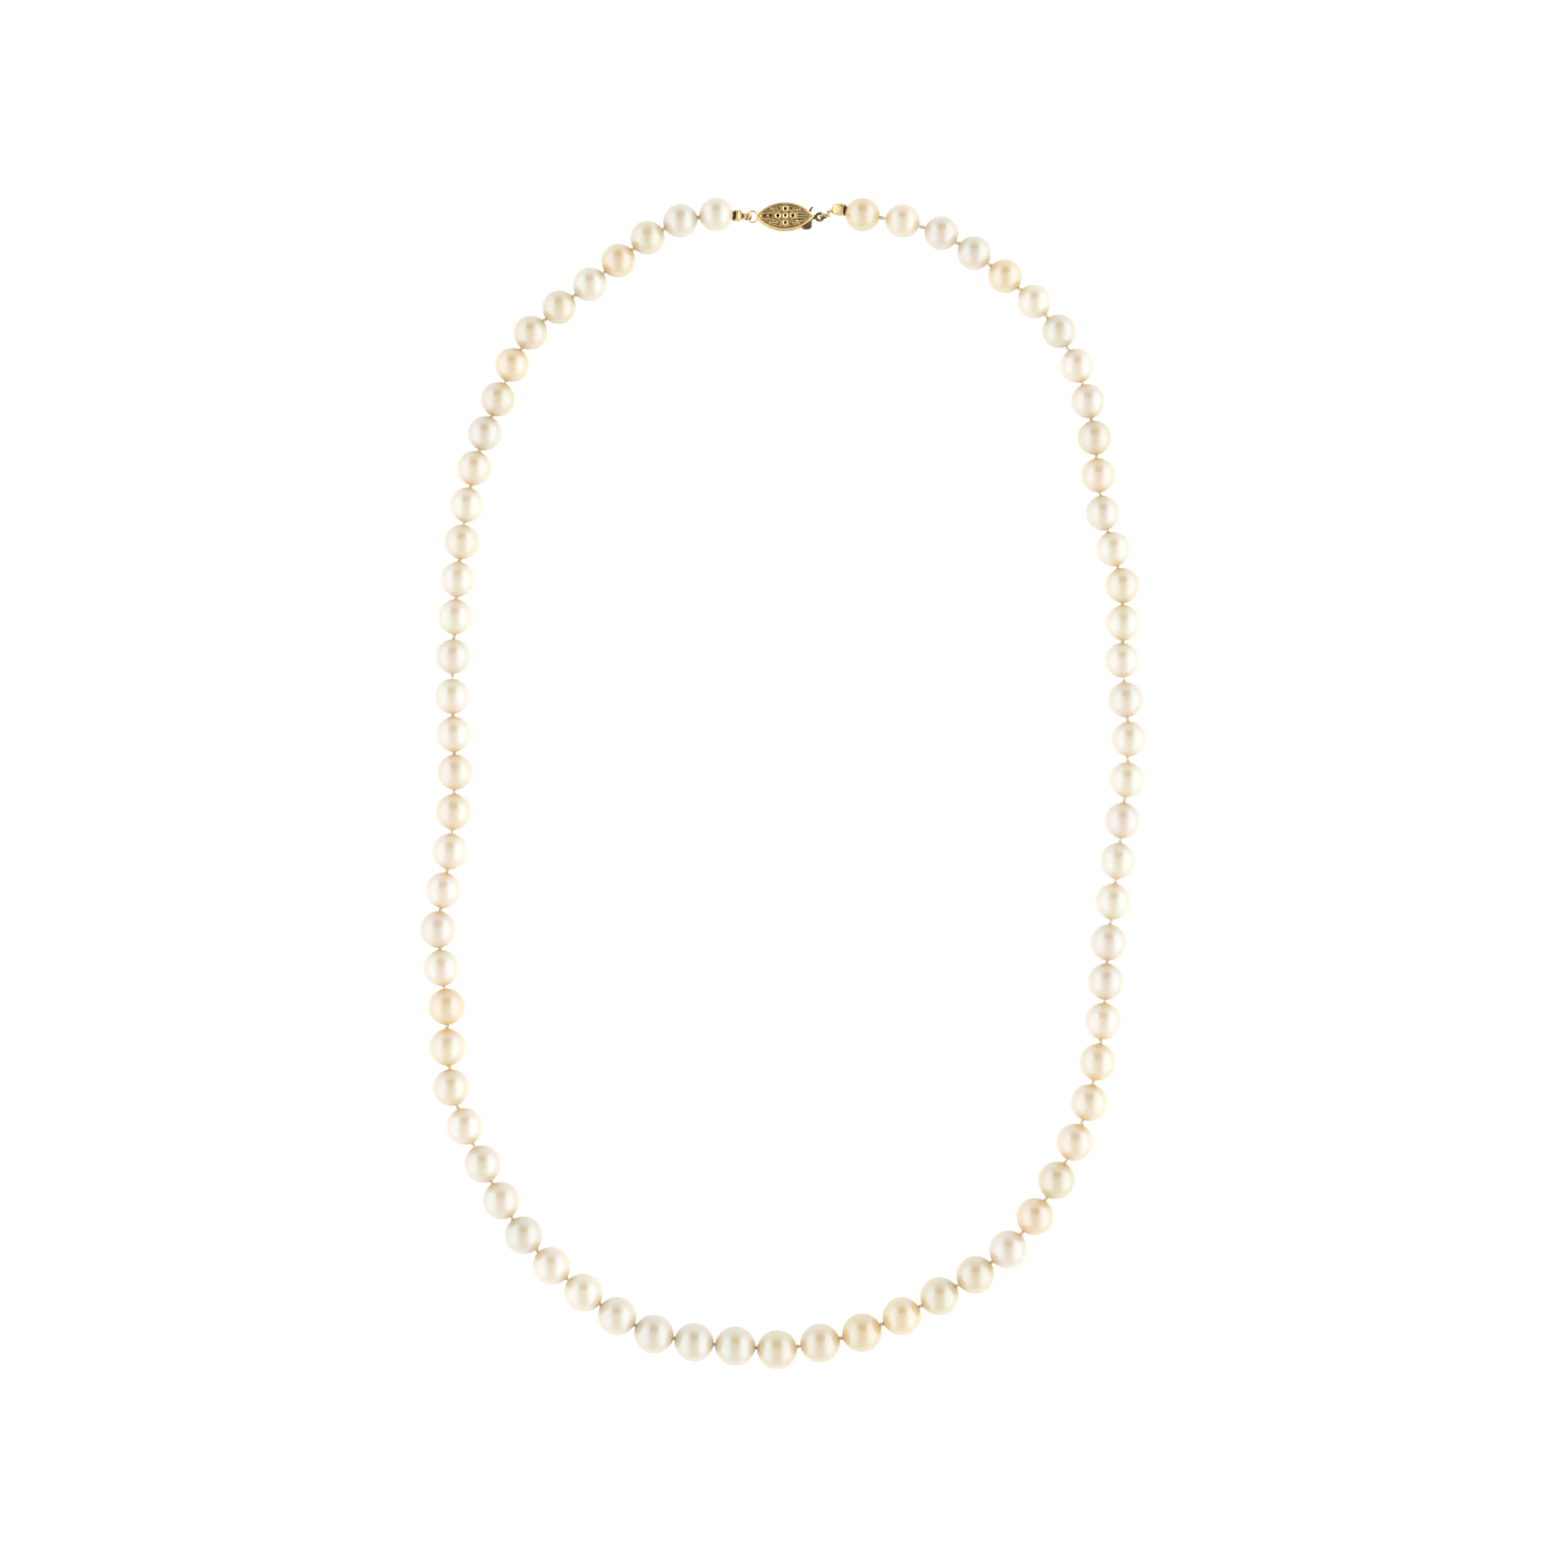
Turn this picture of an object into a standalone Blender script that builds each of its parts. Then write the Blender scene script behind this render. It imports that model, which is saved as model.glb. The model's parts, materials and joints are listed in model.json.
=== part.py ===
"""Pearl necklace: one knotted strand of 74 round pearls, closed by a gold filigree clasp.

The strand lies on a flat surface, at z = 0, as a closed loop in the XY plane. The clasp is at +Y and
the largest pearls are at -Y. Lengths are in millimetres and become metres where a mesh is built.
"""

import math

import bmesh
import bpy
from mathutils import Matrix, Vector

MM = 0.001

# Strand
PEARLS = 74
CENTRE_PEARL = 38
CENTRE_RADIUS = 4.0
END_RADIUS = 3.44
GRADUATION = 1.8
DRILL_RADIUS = 0.42
KNOT_RADIUS = 0.5
MESH_GAP = 0.3
PAIRS_PER_BODY = 2
PEARL_SEGMENTS = 12
PEARL_STATIONS = (38, 73, 107, 142)
BELT_STATIONS = (73, 107)
ROUTE_STEPS = 24

# Pearls that the strand's line is drawn through, as (number, x, y), from one side of the clasp round
# to the other. Those between two of them are spaced evenly.
ROUTE = (
    (1, -13.5, 114.0),
    (2, -20.7, 112.8),
    (3, -27.3, 109.4),
    (5, -38.8, 100.0),
    (7, -50.7, 90.3),
    (9, -57.2, 77.0),
    (11, -62.0, 63.2),
    (13, -64.5, 48.4),
    (15, -65.8, 33.4),
    (17, -66.4, 17.5),
    (19, -65.8, 2.3),
    (21, -66.8, -13.6),
    (23, -69.2, -29.2),
    (25, -67.5, -44.7),
    (27, -66.6, -60.9),
    (29, -60.3, -76.2),
    (31, -52.1, -90.5),
    (33, -40.1, -102.0),
    (35, -26.0, -110.3),
    (37, -9.7, -112.7),
    (38, -1.3, -113.4),
    (40, 15.7, -110.0),
    (42, 31.2, -102.7),
    (44, 45.0, -93.3),
    (46, 54.7, -79.5),
    (48, 61.2, -63.9),
    (50, 64.0, -47.6),
    (52, 65.1, -31.8),
    (55, 67.9, -7.4),
    (57, 69.2, 8.9),
    (59, 67.8, 24.7),
    (61, 67.9, 39.7),
    (63, 63.9, 54.2),
    (65, 62.3, 69.3),
    (67, 58.8, 83.7),
    (69, 50.2, 96.6),
    (72, 31.6, 110.3),
    (74, 15.8, 114.0),
)

# Clasp box: a pointed oval of two arcs, flat on both faces. Heights are from its middle plane.
BOX_CENTRE = Vector((0.25, 113.75, 1.95))
BOX_HALF_LENGTH = 5.95
BOX_HALF_WIDTH = 2.77
ARC_STEPS = 12
RIM_WIDTH = 0.42
RIM_LOW = 1.3
RIM_HIGH = 1.78
PLATE_INSET = 0.5
PLATE_LOW = 1.3
PLATE_HIGH = 1.6
WALL_INSET = 0.6
WALL_THICKNESS = 0.3
WALL_HALF_HEIGHT = 1.25
WALL_END_X = 2.9
FLOWER_LOW = 1.65
FLOWER_HIGH = 1.95
PETAL_X = 1.56
PETAL_Y = 1.38
PETAL_RADIUS = 0.66
PETAL_HOLE = 0.34
FLOWER_HEART = 0.95
LIP_X = (3.0, 3.25)
LIP_HALF_WIDTH = 1.0
LIP_Z = (0.85, 1.25)

# Ring at the box's closed tip
RING_X = -6.45
RING_RADIUS = 0.95
RING_WIRE = 0.2

# Hook: a flat tongue with a ring at its outer end, and a spring leaf with a thumb tab above it
HOOK_RING_X = 7.0
HOOK_RING_OUTER = 0.97
HOOK_RING_HOLE = 0.45
TONGUE_LOW = -0.5
TONGUE_HIGH = -0.2
TONGUE_NOSE_X = -1.8
TONGUE_HALF_WIDTH = 0.85
LEAF_NOSE_X = -1.7
LEAF_END_X = 2.85
LEAF_BEND_Z = (-0.1, 0.5)
LEAF_THICKNESS = 0.18
LEAF_HALF_WIDTH = 0.65

# Bead tips, from where the silk leaves the last pearl to the loop that holds a ring
LOOP_WIRE = 0.17
LOOP_OPENING = 40
TIP_SEGMENTS = 10
LEFT_CUP = {"mouth": 0.45, "base": 1.45, "radius": 1.28, "wall": 0.18}
RIGHT_CUP = {"mouth": 0.45, "base": 2.6, "radius": 1.4, "wall": 0.2}
LEFT_LOOP_RADIUS = 0.62
RIGHT_LOOP_RADIUS = 0.55
LEFT_SILK_ANGLE = -2.0
RIGHT_SILK_ANGLE = 169.0


def clear_objects():
    for obj in list(bpy.data.objects):
        bpy.data.objects.remove(obj, do_unlink=True)


def material(name, colour, roughness, metallic):
    made = bpy.data.materials.new(name)
    made.use_nodes = True
    shader = made.node_tree.nodes["Principled BSDF"]
    shader.inputs["Base Color"].default_value = (*colour, 1.0)
    shader.inputs["Roughness"].default_value = roughness
    shader.inputs["Metallic"].default_value = metallic
    return made


def empty_at(name, point, parent=None):
    """An empty on a joint's axis, with its place given in world millimetres."""
    made = bpy.data.objects.new(name, None)
    made.empty_display_size = 2 * MM
    made["world"] = list(point)
    bpy.context.collection.objects.link(made)
    place(made, point, parent)
    return made


def place(obj, point, parent=None):
    """Puts obj at a world point. Parents are only ever moved, never turned."""
    origin = Vector(parent["world"]) if parent else Vector()
    obj.location = (Vector(point) - origin) * MM
    obj.parent = parent


def mesh_object(name, bm, look, parent, origin, angle=0.0):
    bmesh.ops.recalc_face_normals(bm, faces=bm.faces[:])
    mesh = bpy.data.meshes.new(name)
    bm.to_mesh(mesh)
    bm.free()
    mesh.materials.append(look)
    obj = bpy.data.objects.new(name, mesh)
    bpy.context.collection.objects.link(obj)
    obj.rotation_euler.z = math.radians(angle)
    place(obj, origin, parent)
    return obj


def shade_round(obj, angle):
    obj.data.shade_smooth()
    obj.data.set_sharp_from_angle(angle=math.radians(angle))


def ringed_solid(stations, segments, closed=False):
    """A solid drawn through rings in the local XZ plane.

    A station is (x, z, tilt, radius): the ring's centre, the way it faces and its size. A flat facet
    of every ring faces down. A closed solid joins its last ring to its first.
    """
    bm = bmesh.new()
    rings = []
    for x, z, tilt, radius in stations:
        down = Vector((math.sin(tilt), 0, -math.cos(tilt)))
        side = Vector((0, 1, 0))
        ring = []
        for k in range(segments):
            turn = (k + 0.5) * math.tau / segments
            point = Vector((x, 0, z)) + radius * (math.cos(turn) * down + math.sin(turn) * side)
            ring.append(bm.verts.new(point * MM))
        rings.append(ring)
    pairs = list(zip(rings, rings[1:]))
    if closed:
        pairs.append((rings[-1], rings[0]))
    else:
        bm.faces.new(rings[0])
        bm.faces.new(rings[-1])
    for first, second in pairs:
        for k in range(segments):
            after = (k + 1) % segments
            bm.faces.new((first[k], first[after], second[after], second[k]))
    return bm


def pierced_plate(outline, holes, low, high):
    """A flat plate between two heights, with holes through it. Outlines are lists of (x, y)."""
    bm = bmesh.new()
    edges = []
    for loop in (outline, *holes):
        verts = [bm.verts.new((x * MM, y * MM, low * MM)) for x, y in loop]
        edges += [bm.edges.new(ends) for ends in zip(verts, verts[1:] + verts[:1])]
    bmesh.ops.triangle_fill(bm, edges=edges, use_beauty=True)
    grown = bmesh.ops.extrude_face_region(bm, geom=bm.faces[:])
    raised = [item for item in grown["geom"] if isinstance(item, bmesh.types.BMVert)]
    bmesh.ops.translate(bm, verts=raised, vec=(0, 0, (high - low) * MM))
    return bm


def smooth_stretches(points):
    """A smooth curve through the points, as one line of ROUTE_STEPS short runs for each stretch."""
    knots = [2 * points[0] - points[1], *points, 2 * points[-1] - points[-2]]
    stretches = []
    for a, b, c, d in zip(knots, knots[1:], knots[2:], knots[3:]):
        line = []
        for step in range(ROUTE_STEPS + 1):
            t = step / ROUTE_STEPS
            line.append(
                0.5 * (2 * b + (c - a) * t + (2 * a - 5 * b + 4 * c - d) * t**2
                       + (3 * b - 3 * c + d - a) * t**3)
            )
        stretches.append(line)
    return stretches


def line_length(line):
    return sum((b - a).length for a, b in zip(line, line[1:]))


def point_along(line, distance):
    for a, b in zip(line, line[1:]):
        step = (b - a).length
        if distance <= step:
            return a.lerp(b, distance / step)
        distance -= step
    return line[-1].copy()


def pearl_radius(number):
    """Graduated from the clasp to the centre, with both pearls of a pair alike."""
    pair_middle = 2 * ((number - 1) // 2) + 1.5
    nearness = 1 - abs(pair_middle - (CENTRE_PEARL - 0.5)) / (CENTRE_PEARL - 1)
    return END_RADIUS + (CENTRE_RADIUS - END_RADIUS) * max(nearness, 0) ** GRADUATION


def pearl_centres():
    """Every pearl's centre by number. Each stands on the surface, so its height is its radius."""
    centres = {}
    stretches = smooth_stretches([Vector(place[1:]) for place in ROUTE])
    for start, end, line in zip(ROUTE, ROUTE[1:], stretches):
        numbers = range(start[0], end[0] + 1)
        radii = [pearl_radius(n) for n in numbers]
        steps = [a + b for a, b in zip(radii, radii[1:])]
        knot = (line_length(line) - sum(steps)) / len(steps)
        distance = 0.0
        for number, radius, step in zip(numbers, radii, [*steps, 0.0]):
            x, y = point_along(line, distance)
            centres[number] = Vector((x, y, radius))
            distance += step + knot
    return centres


def pearl_stations(centre_x, radius, segments):
    """One pearl's rings along X. The belt's facets touch the true sphere, so it stands on a flat."""
    outward = 1 / math.cos(math.pi / segments)
    mouth = math.degrees(math.asin(DRILL_RADIUS / radius))
    stations = []
    for angle in (mouth, *PEARL_STATIONS, 180 - mouth):
        x = centre_x - radius * math.cos(math.radians(angle))
        ring = radius * math.sin(math.radians(angle))
        if angle in BELT_STATIONS:
            ring = radius
        if angle in PEARL_STATIONS:
            ring *= outward
        stations.append((x, 0, 0, ring))
    return stations


def pearl_pair(number, centres, look, parent):
    """Two neighbouring pearls with the silk knot between them and the next knot at one end."""
    first, second = centres[number], centres[number + 1]
    radius = first.z
    half_pitch = (second - first).length / 2
    stations = pearl_stations(-half_pitch, radius, PEARL_SEGMENTS)
    stations.append((0, 0, 0, KNOT_RADIUS))
    stations += pearl_stations(half_pitch, radius, PEARL_SEGMENTS)
    if number + 2 in centres:
        after = centres[number + 2]
        gap = (after - second).length - radius - after.z
        end_x = half_pitch + radius + gap - MESH_GAP
        stations.append((end_x, 0, 0, 0.75 * DRILL_RADIUS))
    bm = ringed_solid(stations, PEARL_SEGMENTS)
    heading = math.degrees(math.atan2(second.y - first.y, second.x - first.x))
    name = f"pearl_pair_{(number + 1) // 2:02d}"
    pair = mesh_object(name, bm, look, parent, (first + second) / 2, heading)
    shade_round(pair, 60)


def strand_side(name, centres, numbers, looks):
    """The pairs on one side of the centre pair, with an empty at each knot that bends."""
    parent = None
    pairs = list(zip(numbers[::2], numbers[1::2]))
    for i, (inner, outer) in enumerate(pairs):
        if i % PAIRS_PER_BODY == 0:
            before = inner + (inner - outer)
            knot_middle = (centres[before] + centres[inner]) / 2
            parent = empty_at(f"{name}_hinge_{i // PAIRS_PER_BODY + 1}", knot_middle, parent)
        pearl_pair(min(inner, outer), centres, looks[i % len(looks)], parent)
    return parent


def pointed_oval(inset, steps=ARC_STEPS):
    """The box's outline moved inward by inset, anticlockwise from the right tip."""
    radius = (BOX_HALF_LENGTH**2 + BOX_HALF_WIDTH**2) / (2 * BOX_HALF_WIDTH)
    offset = radius - BOX_HALF_WIDTH
    inner = radius - inset
    reach = math.acos(offset / inner)
    upper = []
    for step in range(steps):
        angle = reach - 2 * reach * step / steps
        upper.append((inner * math.sin(angle), inner * math.cos(angle) - offset))
    return upper + [(-x, -y) for x, y in upper]


def circle(x, y, radius, steps=8):
    turns = [math.tau * k / steps for k in range(steps)]
    return [(x + radius * math.cos(a), y + radius * math.sin(a)) for a in turns]


def filigree_plate(low, high):
    """A pierced face: windows round the flower, two eyes and an arch at -X, bars at +X."""
    windows = [circle(0, 0, 0.3)]
    for side in (-1, 1):
        windows.append(circle(side * PETAL_X, 0, PETAL_HOLE))
        windows.append(circle(0, side * PETAL_Y, PETAL_HOLE))
        windows.append(circle(-2.95, side * 0.6, 0.38))
        windows.append([(2.55, side * 0.22), (4.3, side * 0.12), (4.2, side * 0.3), (2.75, side * 0.62)])
        for end in (-1, 1):
            leaf = [(0.85, 1.75), (1.1, 1.15), (1.75, 0.95), (2.3, 0.95), (1.75, 1.45)]
            windows.append([(end * x, side * y) for x, y in leaf])
    windows.append([(-4.55, 0), (-3.75, -0.42), (-3.55, 0), (-3.75, 0.42)])
    return pierced_plate(pointed_oval(PLATE_INSET), windows, low, high)


def flower(low, high):
    """Four ring petals round a pierced heart."""
    outline = []
    steps = 48
    for k in range(steps):
        angle = math.tau * k / steps
        ray = Vector((math.cos(angle), math.sin(angle)))
        reach = FLOWER_HEART
        for petal in ((PETAL_X, 0), (-PETAL_X, 0), (0, PETAL_Y), (0, -PETAL_Y)):
            along = ray.dot(Vector(petal))
            across = Vector(petal).length_squared - along**2
            if along > 0 and across < PETAL_RADIUS**2:
                reach = max(reach, along + math.sqrt(PETAL_RADIUS**2 - across))
        outline.append((reach * ray.x, reach * ray.y))
    holes = [circle(0, 0, 0.3)]
    for side in (-1, 1):
        holes.append(circle(side * PETAL_X, 0, PETAL_HOLE))
        holes.append(circle(0, side * PETAL_Y, PETAL_HOLE))
    return pierced_plate(outline, holes, low, high)


def box_wall():
    """The side wall, bent round the closed tip and open at +X, where the hook goes in."""
    outer = [p for p in pointed_oval(WALL_INSET, 24) if p[0] < WALL_END_X]
    inner = [p for p in pointed_oval(WALL_INSET + WALL_THICKNESS, 24) if p[0] < WALL_END_X]
    return pierced_plate(outer + inner[::-1], [], -WALL_HALF_HEIGHT, WALL_HALF_HEIGHT)


def wire_ring(radius, wire, segments=8, steps=16):
    turns = [math.tau * k / steps for k in range(steps)]
    stations = [(radius * math.cos(a), radius * math.sin(a), a + math.pi / 2, wire) for a in turns]
    bm = ringed_solid(stations, segments, closed=True)
    bmesh.ops.rotate(bm, verts=bm.verts[:], cent=(0, 0, 0), matrix=Matrix.Rotation(math.pi / 2, 3, "X"))
    return bm


def build_box(gold, parent):
    """The clasp box: wall, two pierced faces with their rims and flowers, catch lip and end ring."""
    faces = (
        ("rim", lambda low, high: pierced_plate(pointed_oval(0), [pointed_oval(RIM_WIDTH)], low, high),
         RIM_LOW, RIM_HIGH),
        ("filigree", filigree_plate, PLATE_LOW, PLATE_HIGH),
        ("flower", flower, FLOWER_LOW, FLOWER_HIGH),
    )
    for name, shape, low, high in faces:
        mesh_object(f"clasp_front_{name}", shape(low, high), gold, parent, BOX_CENTRE)
        mesh_object(f"clasp_back_{name}", shape(-high, -low), gold, parent, BOX_CENTRE)
    mesh_object("clasp_wall", box_wall(), gold, parent, BOX_CENTRE)
    near, far = LIP_X
    w = LIP_HALF_WIDTH
    lip = [(near, -w), (far, -w), (far, w), (near, w)]
    mesh_object("clasp_catch_lip", pierced_plate(lip, [], *LIP_Z), gold, parent, BOX_CENTRE)
    ring = wire_ring(RING_RADIUS, RING_WIRE)
    ring_centre = BOX_CENTRE + Vector((RING_X, 0, 0))
    shade_round(mesh_object("clasp_end_ring", ring, gold, parent, ring_centre), 70)


def hook_outline():
    """The tongue's plan: rounded nose, a spur on one shoulder, a neck and the end ring."""
    w = TONGUE_HALF_WIDTH
    nose = [(TONGUE_NOSE_X + 0.5, w), (TONGUE_NOSE_X, 0.4), (TONGUE_NOSE_X, -0.4),
            (TONGUE_NOSE_X + 0.5, -w)]
    lower = [(4.9, -w), (5.5, -0.45)]
    upper = [(5.5, 0.45), (5.15, 0.95), (5.65, 1.95), (5.35, 2.05), (4.35, w)]
    ring = []
    for k in range(15):
        angle = math.radians(-152 + 304 * k / 14)
        ring.append((HOOK_RING_X + HOOK_RING_OUTER * math.cos(angle), HOOK_RING_OUTER * math.sin(angle)))
    return nose + lower + ring + upper


def leaf_height(x):
    """How high the spring leaf's underside stands at x."""
    low, high = LEAF_BEND_Z
    share = (x - LEAF_NOSE_X) / (LEAF_END_X - LEAF_NOSE_X)
    return low + (high - low) * min(share, 1.0)


def build_hook(metal, swivel, leaf_hinge):
    """The tongue, and the spring leaf whose thumb tab reaches out past the box's open side."""
    holes = [circle(HOOK_RING_X, 0, HOOK_RING_HOLE, 12)]
    tongue = pierced_plate(hook_outline(), holes, TONGUE_LOW, TONGUE_HIGH)
    mesh_object("hook_tongue", tongue, metal, swivel, BOX_CENTRE)
    w = LEAF_HALF_WIDTH
    plan = [(LEAF_NOSE_X, -w), (LEAF_END_X, -w), (3.35, -w), (3.35, -2.3), (3.65, -2.6), (4.6, -2.6),
            (5.3, -2.2), (5.45, -1.0), (4.6, -0.1), (LEAF_END_X, -0.1), (LEAF_END_X, w), (LEAF_NOSE_X, w)]
    leaf = pierced_plate(plan, [], 0, LEAF_THICKNESS)
    for vert in leaf.verts:
        vert.co.z += leaf_height(vert.co.x / MM) * MM
    mesh_object("hook_spring_leaf", leaf, metal, leaf_hinge, BOX_CENTRE)


def tip_frame(pearl, silk_angle, ring_centre, ring_radius):
    """Where the silk leaves the last pearl, the bead tip's heading, tilt and reach to its loop."""
    angle = math.radians(silk_angle)
    exit_point = pearl + pearl.z * Vector((math.cos(angle), math.sin(angle), 0))
    flat = Vector((exit_point.x - ring_centre.x, exit_point.y - ring_centre.y, 0)).normalized()
    loop_centre = ring_centre + ring_radius * flat
    run = loop_centre - exit_point
    heading = math.atan2(run.y, run.x)
    tilt = math.atan2(run.z, math.hypot(run.x, run.y))
    return exit_point, heading, tilt, run.length


def cup_and_loop(cup, reach, loop_radius):
    """Rings from inside the cup, over its lip, down to the shank and round the loop."""
    mouth, base, radius, wall = cup["mouth"], cup["base"], cup["radius"], cup["wall"]
    depth = base - mouth
    inside = [(base - wall - (depth - wall) * (1 - math.cos(a)), (radius - wall) * math.sin(a))
              for a in (0.15, 0.7, 1.2, math.pi / 2)]
    outside = [(base - depth * (1 - math.cos(a)), radius * math.sin(a))
               for a in (math.pi / 2, 1.2, 0.7, 0.35)]
    stations = [(x, 0, 0, r) for x, r in inside + outside]
    stations.append((base + 0.1, 0, 0, LOOP_WIRE))
    turns = 18
    for k in range(turns + 1):
        swing = math.radians((360 - LOOP_OPENING) * k / turns)
        x = reach - loop_radius * math.cos(swing)
        z = loop_radius * math.sin(swing)
        stations.append((x, z, math.pi / 2 - swing, LOOP_WIRE))
    return stations


def tilted(bm, tilt):
    bmesh.ops.rotate(bm, verts=bm.verts[:], cent=(0, 0, 0), matrix=Matrix.Rotation(-tilt, 3, "Y"))
    return bm


def build_bead_tip(side, pearl, silk_angle, ring_centre, ring_radius, loop_radius, cup, looks, parent):
    """The cup that closes over the strand's end knot, and that knot."""
    gold, silk = looks
    start, heading, tilt, reach = tip_frame(pearl, silk_angle, ring_centre, ring_radius)
    tip = tilted(ringed_solid(cup_and_loop(cup, reach, loop_radius), TIP_SEGMENTS), tilt)
    turned = math.degrees(heading)
    shade_round(mesh_object(f"{side}_bead_tip", tip, gold, parent, start, turned), 50)
    knot_profile = ((0.35, 0.3), (0.7, 0.3), (0.8, 0.6), (1.0, 0.6), (1.12, 0.3))
    knot = tilted(ringed_solid([(x, 0, 0, r) for x, r in knot_profile], TIP_SEGMENTS), tilt)
    shade_round(mesh_object(f"{side}_end_knot", knot, silk, parent, start, turned), 50)


def build():
    clear_objects()
    ivory = material("pearl_ivory", (0.80, 0.73, 0.62), 0.28, 0.0)
    rose = material("pearl_rose", (0.82, 0.72, 0.66), 0.28, 0.0)
    cream = material("pearl_cream", (0.78, 0.72, 0.55), 0.28, 0.0)
    silk = material("silk", (0.80, 0.75, 0.64), 0.8, 0.0)
    gold = material("gold", (0.78, 0.56, 0.27), 0.3, 1.0)
    hook_gold = material("hook_gold", (0.52, 0.38, 0.2), 0.4, 1.0)
    looks = (ivory, rose, cream)

    centres = pearl_centres()
    pearl_pair(CENTRE_PEARL - 1, centres, ivory, None)
    left_end = strand_side("left", centres, range(CENTRE_PEARL - 2, 0, -1), looks)
    right_end = strand_side("right", centres, range(CENTRE_PEARL + 1, PEARLS + 1), looks)

    ring_centre = BOX_CENTRE + Vector((RING_X, 0, 0))
    hook_ring_z = (TONGUE_LOW + TONGUE_HIGH) / 2
    hook_ring_centre = BOX_CENTRE + Vector((HOOK_RING_X, 0, hook_ring_z))
    hook_ring_radius = (HOOK_RING_OUTER + HOOK_RING_HOLE) / 2
    build_bead_tip("left", centres[1], LEFT_SILK_ANGLE, ring_centre, RING_RADIUS,
                   LEFT_LOOP_RADIUS, LEFT_CUP, (gold, silk), left_end)
    build_bead_tip("right", centres[PEARLS], RIGHT_SILK_ANGLE, hook_ring_centre, hook_ring_radius,
                   RIGHT_LOOP_RADIUS, RIGHT_CUP, (gold, silk), right_end)

    box_swivel = empty_at("box_swivel", ring_centre, left_end)
    build_box(gold, box_swivel)
    hook_swivel = empty_at("hook_swivel", hook_ring_centre, right_end)
    leaf_point = BOX_CENTRE + Vector((LEAF_NOSE_X, 0, LEAF_BEND_Z[0]))
    leaf_hinge = empty_at("leaf_hinge", leaf_point, hook_swivel)
    build_hook(hook_gold, hook_swivel, leaf_hinge)


build()
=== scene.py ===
"""Looks for the pearl necklace: 74 drilled pearls on knotted silk, closed by a gold filigree clasp."""
import json
import math
import random

import bmesh
import bpy
from mathutils import Matrix, Vector


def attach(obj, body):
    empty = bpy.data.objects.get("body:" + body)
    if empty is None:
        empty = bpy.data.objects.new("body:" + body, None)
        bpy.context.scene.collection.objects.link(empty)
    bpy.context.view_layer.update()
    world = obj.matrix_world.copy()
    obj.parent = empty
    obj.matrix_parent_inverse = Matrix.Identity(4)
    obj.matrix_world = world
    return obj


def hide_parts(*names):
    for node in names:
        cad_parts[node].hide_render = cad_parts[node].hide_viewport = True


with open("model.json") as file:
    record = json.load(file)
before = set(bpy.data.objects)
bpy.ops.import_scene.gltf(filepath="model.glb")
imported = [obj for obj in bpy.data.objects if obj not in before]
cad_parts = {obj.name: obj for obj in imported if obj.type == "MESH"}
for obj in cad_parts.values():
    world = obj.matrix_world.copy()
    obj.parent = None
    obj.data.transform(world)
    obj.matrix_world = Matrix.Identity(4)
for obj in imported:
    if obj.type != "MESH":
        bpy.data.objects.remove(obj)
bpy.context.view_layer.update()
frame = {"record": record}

# Shapes are made in millimetres, and MM turns them into Blender's metres.
MM = 0.001
X_AXIS = Vector((1, 0, 0))
Z_AXIS = Vector((0, 0, 1))

# Camera: straight above the loop, through a long lens; the view is VIEW_WIDTH mm wide at the pearls
VIEW_WIDTH = 314.14
LENS = 110.0
SENSOR = 36.0
VIEW_CENTRE = (0.08, -0.08)
PEARL_MIDDLE = 3.7

# Light tent: brightness, and places as shares of a pearl's radius from its top, right and upward
TENT_LEVEL = 0.85
PANEL_SIDE = (0.13, 0.38)
PANEL_ENDS = (0.3, 0.85)
PANEL_LEFT = 1.15
PANEL_RIGHT = 1.4
HATCH_UP = 0.33
HATCH_SIDE = (0.2, 0.27)
HATCH_ENDS = (0.13, 0.19)
HATCH_SHADE = 0.82
LENS_EDGE = (0.05, 0.13)
LENS_SHADE = 0.45

# Light table
TABLE_HALF = 3.0
TABLE_DROP = 0.05
TABLE_GLOW = 0.68

# Strand, as in the CAD. ROUTE holds a pearl's number and its centre's place on the table. Pearls that
# it leaves out are spaced evenly between those that it names
PEARLS = 74
CENTRE_PEARL = 38
CENTRE_RADIUS = 4.0
END_RADIUS = 3.44
GRADUATION = 1.8
ROUTE_STEPS = 24
ROUTE = (
    (1, -13.5, 114.0),
    (2, -20.7, 112.8),
    (3, -27.3, 109.4),
    (5, -38.8, 100.0),
    (7, -50.7, 90.3),
    (9, -57.2, 77.0),
    (11, -62.0, 63.2),
    (13, -64.5, 48.4),
    (15, -65.8, 33.4),
    (17, -66.4, 17.5),
    (19, -65.8, 2.3),
    (21, -66.8, -13.6),
    (23, -69.2, -29.2),
    (25, -67.5, -44.7),
    (27, -66.6, -60.9),
    (29, -60.3, -76.2),
    (31, -52.1, -90.5),
    (33, -40.1, -102.0),
    (35, -26.0, -110.3),
    (37, -9.7, -112.7),
    (38, -1.3, -113.4),
    (40, 15.7, -110.0),
    (42, 31.2, -102.7),
    (44, 45.0, -93.3),
    (46, 54.7, -79.5),
    (48, 61.2, -63.9),
    (50, 64.0, -47.6),
    (52, 65.1, -31.8),
    (55, 67.9, -7.4),
    (57, 69.2, 8.9),
    (59, 67.8, 24.7),
    (61, 67.9, 39.7),
    (63, 63.9, 54.2),
    (65, 62.3, 69.3),
    (67, 58.8, 83.7),
    (69, 50.2, 96.6),
    (72, 31.6, 110.3),
    (74, 15.8, 114.0),
)

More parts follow.
